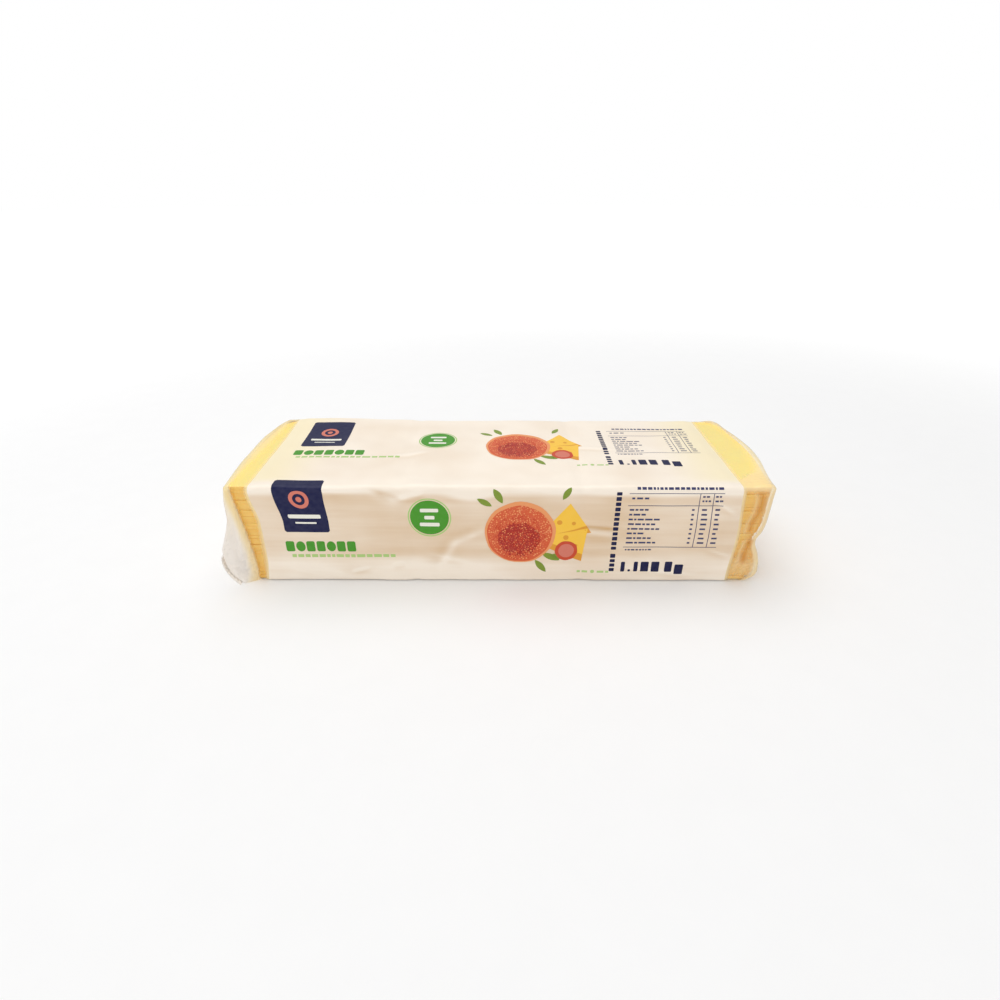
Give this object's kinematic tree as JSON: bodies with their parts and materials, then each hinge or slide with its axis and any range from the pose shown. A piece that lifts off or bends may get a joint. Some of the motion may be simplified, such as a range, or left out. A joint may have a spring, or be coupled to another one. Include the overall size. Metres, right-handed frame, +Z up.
{
  "type": "film-wrapped cheese block",
  "caption": "Long block of sliced processed cheese in a tight printed flow-wrap film, clear at both ends, with one loose fin seal and one folded flat.",
  "frame": {"origin": "middle of the flat underside of the block, without its closures", "axes": "+X along the block to the end with the folded seal, -Y to the printed front, +Z up from the surface it lies on"},
  "size_m": [0.2708, 0.091, 0.0526],
  "materials": {
    "printed_film": "thin glossy wrapping film, printed cream between clear ends, tight over yellow cheese",
    "cheese": null,
    "ink": "flat printing ink under the gloss of the film, in navy, green, red and yellow fields"
  },
  "bodies": {
    "root": {"wrapped_block": "printed_film"}
  },
  "joints": []
}
